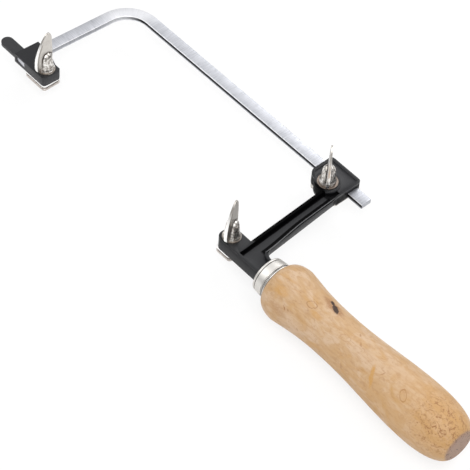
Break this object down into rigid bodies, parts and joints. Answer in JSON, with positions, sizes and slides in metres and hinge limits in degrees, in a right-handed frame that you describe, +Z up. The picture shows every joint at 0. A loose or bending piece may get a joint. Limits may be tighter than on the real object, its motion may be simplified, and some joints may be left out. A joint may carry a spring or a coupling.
{
  "type": "fret saw",
  "caption": "Fret saw with a flat steel bow that slides in a black cast bracket, wing-screw blade clamps and a turned wooden handle.",
  "frame": {"origin": "centre of the overall box in plan, on the surface that the handle lies on", "axes": "the saw lies on its side: +X from the front clamp to the butt of the handle, +Y from the blade line to the spine of the bow, +Z up along the wing screws"},
  "size_m": [0.3275, 0.0876, 0.0433],
  "materials": {
    "beech": "sanded and waxed",
    "black_paint": "satin black on a casting",
    "bright_steel": "brushed across its width",
    "dark_steel": "plain",
    "nickel": "nickel plate",
    "washer_steel": "turned"
  },
  "bodies": {
    "grip": {"handle": "beech", "ferrule": "nickel", "tang": "dark_steel", "bracket": "black_paint", "rear_washer": "washer_steel", "rear_liner": "nickel", "bar_washer": "washer_steel"},
    "bow_frame": {"bow": "bright_steel", "front_block": "black_paint", "bow_pin": "bright_steel", "front_washer": "washer_steel", "front_liner": "nickel"},
    "front_wing": {"front_screw": "nickel"},
    "rear_wing": {"rear_screw": "nickel"},
    "bar_wing": {"bar_screw": "nickel"},
    "front_clamp": {"front_plate": "nickel", "front_plate_pin": "bright_steel"},
    "rear_clamp": {"rear_plate": "nickel", "rear_plate_pin": "bright_steel"},
    "bar_clamp": {"bar_plate": "nickel", "bar_plate_pin": "bright_steel"}
  },
  "joints": [
    {"name": "bow_slide", "type": "slide", "parent": "grip", "child": "bow_frame", "axis": [1, 0, 0], "range_m": [-0.009, 0.08]},
    {"name": "front_screw_turn", "type": "hinge", "parent": "bow_frame", "child": "front_wing", "pos_m": [-0.13155, -0.0272, 0.0169], "axis": [0, 0, 1], "range_deg": [0, 720]},
    {"name": "rear_screw_turn", "type": "hinge", "parent": "grip", "child": "rear_wing", "pos_m": [0.01185, -0.0289, 0.0187], "axis": [0, 0, 1], "range_deg": [0, 720]},
    {"name": "bar_screw_turn", "type": "hinge", "parent": "grip", "child": "bar_wing", "pos_m": [0.01583, 0.0305, 0.0191], "axis": [0, 0, 1], "range_deg": [0, 720]},
    {"name": "front_clamp_open", "type": "slide", "parent": "bow_frame", "child": "front_clamp", "axis": [0, 0, -1], "range_m": [0, 0.00161]},
    {"name": "rear_clamp_open", "type": "slide", "parent": "grip", "child": "rear_clamp", "axis": [0, 0, -1], "range_m": [0, 0.00161]},
    {"name": "bar_clamp_open", "type": "slide", "parent": "grip", "child": "bar_clamp", "axis": [0, 0, -1], "range_m": [0, 0.00161]}
  ],
  "couplings": [
    {"joint": "front_clamp_open", "follows": "front_screw_turn", "m_per_rad": 0.00012732},
    {"joint": "rear_clamp_open", "follows": "rear_screw_turn", "m_per_rad": 0.00012732},
    {"joint": "bar_clamp_open", "follows": "bar_screw_turn", "m_per_rad": 0.00012732}
  ]
}
